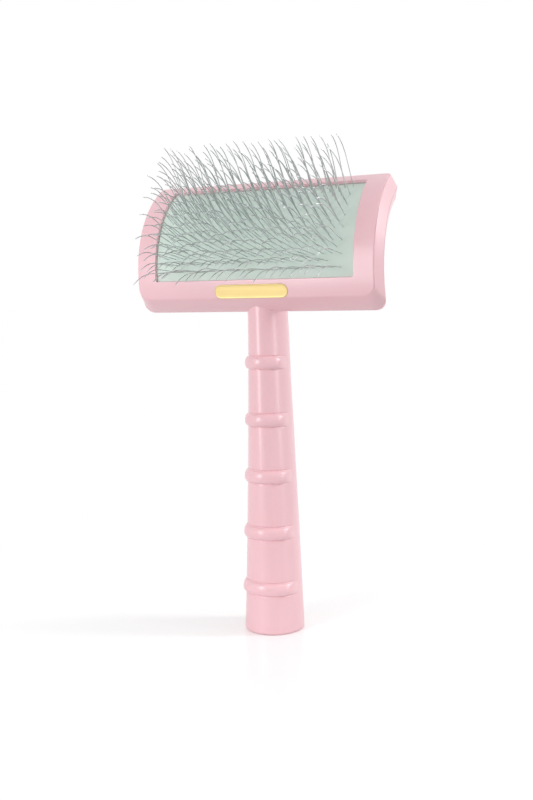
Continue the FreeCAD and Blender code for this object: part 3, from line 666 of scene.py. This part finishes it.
# heights, centre in Y, half width and half depth of the handle from its foot up
STATIONS = np.array([
    (0.0, 0.0, 14.3, 15.9), (9.0, -0.3, 13.9, 15.5), (37.0, -1.5, 12.8, 14.9),
    (64.0, -2.9, 11.7, 14.3), (93.0, -4.6, 10.6, 13.7), (119.0, -6.4, 9.7, 13.1),
    (151.0, -8.6, 8.8, 12.8), (166.0, -10.6, 8.6, 12.2), (177.0, -14.6, 7.6, 10.0),
    (186.0, -20.8, 4.6, 4.8)]) * MM
RIDGES, RIDGE_FIRST, RIDGE_PITCH = 5, 22 * MM, 27 * MM
RIDGE_HALF, RIDGE_PROUD = 3.0 * MM, 1.8 * MM
# a groove beside each ridge: depth as a share of the ridge, place and width as shares of its half
GROOVE_DEEP, GROOVE_PLACE, GROOVE_WIDE = 0.14, 1.06, 0.08
# the ridges end this far round from the front, after fading over this much
FADE_END, FADE_SPAN = math.radians(86), math.radians(40)
FOOT_ROUND = 1.3 * MM
# wall left round the mouth of the socket at the foot, and how deep the socket runs
SOCKET_WALL, CAP_DEPTH = 2.4 * MM, 8.0 * MM


def through(heights, column):
    """A smooth curve through one column of the stations: cubic pieces whose slope at a station
    is that of the chord between its neighbours."""
    knots, values = STATIONS[:, 0], STATIONS[:, column]
    slopes = np.gradient(values, knots)
    piece = np.clip(np.searchsorted(knots, heights) - 1, 0, len(knots) - 2)
    width = knots[piece + 1] - knots[piece]
    part = (heights - knots[piece]) / width
    return ((2 * part ** 3 - 3 * part ** 2 + 1) * values[piece]
            + (part ** 3 - 2 * part ** 2 + part) * width * slopes[piece]
            + (3 * part ** 2 - 2 * part ** 3) * values[piece + 1]
            + (part ** 3 - part ** 2) * width * slopes[piece + 1])


def grip_skin(around=112):
    """The handle: ovals from foot to top. A ridge adds a half round that stands out most in front
    and fades to the sides. The foot turns in by a quarter round, and what would pass into the
    head stops just inside its shells."""
    heights = np.arange(FOOT_ROUND, GRIP_TOP - 0.2 * MM, 0.75 * MM)
    centres = RIDGE_FIRST + RIDGE_PITCH * np.arange(RIDGES)
    step = np.linspace(-1.3, 1.3, 39) * RIDGE_HALF
    heights = np.unique(np.round(np.concatenate([heights, (centres[:, None] + step).ravel()]), 6))
    angle = np.linspace(0, 2 * math.pi, around, endpoint=False)
    wide, deep = through(heights, 2)[:, None], through(heights, 3)[:, None]
    nearest = np.abs(heights[:, None] - centres[None]).min(1) / RIDGE_HALF
    swell = np.sqrt(np.clip(1 - nearest ** 2, 0, 1))[:, None]
    swell = swell - GROOVE_DEEP * np.exp(-((nearest - GROOVE_PLACE) / GROOVE_WIDE) ** 2)[:, None]
    front = np.abs((angle + math.pi) % (2 * math.pi) - math.pi)
    fade = np.clip((FADE_END - front) / FADE_SPAN, 0, 1)
    proud = RIDGE_PROUD * swell * fade ** 2 * (3 - 2 * fade)
    across = (wide + proud) * np.sin(angle)
    ahead = through(heights, 1)[:, None] - (deep + proud) * np.cos(angle)
    body = np.stack([across, ahead, heights[:, None] + 0 * across], -1)
    turn = np.linspace(0, math.pi / 2, 6)[:-1]
    margin = FOOT_ROUND * (1 - np.sin(turn))
    foot_levels = FOOT_ROUND * (1 - np.cos(turn))
    rim_in = np.concatenate([[SOCKET_WALL], margin])
    levels = np.concatenate([[0.0], foot_levels])
    foot = np.stack([(STATIONS[0, 2] - rim_in)[:, None] * np.sin(angle),
                     -(STATIONS[0, 3] - rim_in)[:, None] * np.cos(angle),
                     levels[:, None] + 0 * angle[None]], -1)
    inside = foot[:1].copy()
    inside[..., 2] = CAP_DEPTH
    return np.concatenate([inside, foot, body])


def stop_in_head(loops):
    """Points that would stand more than a little inside the head's shells are drawn back towards
    the head's axis, to the middle of the cover's wall."""
    up, forward = loops[..., 2] - AXIS_Z, AXIS_Y - loops[..., 1]
    radius, turn = np.hypot(up, forward), np.arctan2(up, forward)
    face = np.array([math.cos(FACE_LOW), math.sin(FACE_LOW)]) * FACE_RADIUS
    rim = np.array([math.cos(RIM_LOW), math.sin(RIM_LOW)]) * RIM_RADIUS
    slope = (face - rim) / np.linalg.norm(face - rim)
    above = (up - rim[1]) * slope[0] - (forward - rim[0]) * slope[1]
    depth = np.minimum(np.minimum(radius - BACK_RADIUS, (turn - RIM_LOW) * radius), above)
    too_deep = depth > INTO_COVER
    held = np.where(too_deep, np.minimum(radius, BACK_RADIUS + INTO_COVER), radius)
    return on_curve(loops[..., 0], turn, held)


grip_body = stacked("grip_body", stop_in_head(grip_skin()))
satin_handle = moulded_abs("satin_moulded_ABS_handle", "f1c4cb", "f0c1c8")
finish_piece(grip_body, satin_handle, "brush", "pink_handle", "handle_grip")
dress_node("end_cap", satin_handle)

# ------------------------------------------------------------------ floor, light and camera
# A white acrylic light table that fades into a white studio. A key light stands at the front and
# left, a side light high at the right and a little behind, and a tall strip at the right. The
# camera is a little above the middle of the brush.

FLOOR_REACH, FLOOR_CLEAR, TABLE_GLOW = 0.24, 0.04, 0.12
floor_mesh = bpy.data.meshes.new("floor")
floor_mesh.from_pydata([(-FLOOR_REACH, -FLOOR_REACH, 0), (FLOOR_REACH, -FLOOR_REACH, 0),
                        (FLOOR_REACH, FLOOR_REACH, 0), (-FLOOR_REACH, FLOOR_REACH, 0)],
                       [], [(0, 1, 2, 3)])
floor = bpy.data.objects.new("floor", floor_mesh)
bpy.context.collection.objects.link(floor)


def light_table():
    """White acrylic lit from below: bright, polished enough for a faint image of the foot, and
    clear towards its edge, so that it has no visible end."""
    material, shader = new_material("polished_white_acrylic", Base_Color=linear("f4f4f4"),
                                    Roughness=0.12, IOR=1.49, Emission_Color=(1, 1, 1, 1))
    place = add_node(material, "TexCoord")
    spread = add_node(material, "Mapping", [("Vector", place, "Object")])
    spread.inputs["Scale"].default_value = (1 / FLOOR_REACH,) * 3
    fall = add_node(material, "TexGradient", [("Vector", spread, "Vector")],
                    gradient_type="SPHERICAL")
    solid = add_node(material, "MapRange", [("Value", fall, "Fac")], From_Min=0.0,
                     From_Max=1 - FLOOR_CLEAR / FLOOR_REACH, interpolation_type="SMOOTHSTEP")
    clear = add_node(material, "BsdfTransparent")
    tree = material.node_tree
    # the glow is for the eye alone: the brush isn't lit from below
    ray = add_node(material, "LightPath")
    glow = add_node(material, "Math", [(0, ray, "Is Camera Ray")], operation="MULTIPLY")
    glow.inputs[1].default_value = TABLE_GLOW
    tree.links.new(glow.outputs[0], shader.inputs["Emission Strength"])
    mix = add_node(material, "MixShader", [(0, solid, "Result"), (1, clear, "BSDF"),
                                           (2, shader, "BSDF")])
    tree.links.new(mix.outputs[0], tree.nodes["Material Output"].inputs["Surface"])
    return material


floor_mesh.materials.append(light_table())

world = bpy.data.worlds.new("studio")
world.use_nodes = True
studio = add_node(world, "LightPath")
# the room is brighter above than at the sides
way = add_node(world, "TexCoord")
rise = add_node(world, "SeparateXYZ", [("Vector", way, "Generated")])
room = add_node(world, "MapRange", [("Value", rise, "Z")], From_Min=-0.2, From_Max=1.0,
                To_Min=0.34, To_Max=0.8)
dim = add_node(world, "Background", [("Strength", room, "Result")], Color=(1, 1, 1, 1))
bright = add_node(world, "Background", Color=(1, 1, 1, 1), Strength=1.0)
seen = add_node(world, "MixShader", [(0, studio, "Is Diffuse Ray"), (1, bright, "Background"),
                                     (2, dim, "Background")])
world.node_tree.links.new(seen.outputs[0], world.node_tree.nodes["World Output"].inputs["Surface"])
bpy.context.scene.world = world


middle = (Vector(cad_box[0]) + Vector(cad_box[1])) / 2


def soft_light(name, azimuth, height, distance, wide, tall, radiance):
    """A rectangular soft box facing the brush, from an azimuth in degrees, 0 being straight in
    front, at a height above the middle; its power follows from the radiance of its face."""
    data = bpy.data.lights.new(name, "AREA")
    data.shape = "RECTANGLE"
    data.size, data.size_y = wide, tall
    data.energy = radiance * math.pi * wide * tall
    light = bpy.data.objects.new(name, data)
    turn = math.radians(azimuth)
    offset = Vector((math.sin(turn) * distance, -math.cos(turn) * distance, height))
    light.location = middle + offset
    light.rotation_euler = (-offset).to_track_quat("-Z", "Y").to_euler()
    bpy.context.collection.objects.link(light)


soft_light("key", -20, 0.06, 0.5, 0.13, 0.34, 8.5)
soft_light("side", 114, 0.35, 0.6, 0.12, 0.3, 14)
soft_light("strip", 94, 0.05, 0.6, 0.08, 0.32, 6)

# focal length and sensor height in millimetres, and how far the camera looks down
LENS, SENSOR, TILT = 41.94, 36.0, math.radians(3.9283)
AZIMUTH, STAND_OFF, EYE, ASIDE = math.radians(24.1), 450.5 * MM, 142.4 * MM, -4.3 * MM
right = np.array([math.cos(AZIMUTH), math.sin(AZIMUTH), 0])
ahead = np.array([-math.sin(AZIMUTH), math.cos(AZIMUTH), 0])
camera_data = bpy.data.cameras.new("camera")
camera_data.sensor_fit, camera_data.sensor_height = "VERTICAL", SENSOR
camera_data.lens = LENS
camera = bpy.data.objects.new("camera", camera_data)
camera.location = -ahead * STAND_OFF + right * ASIDE + np.array([0, 0, EYE])
camera.rotation_euler = (math.pi / 2 - TILT, 0, AZIMUTH)
bpy.context.collection.objects.link(camera)
bpy.context.scene.camera = camera
bpy.context.scene.view_settings.view_transform = "Standard"
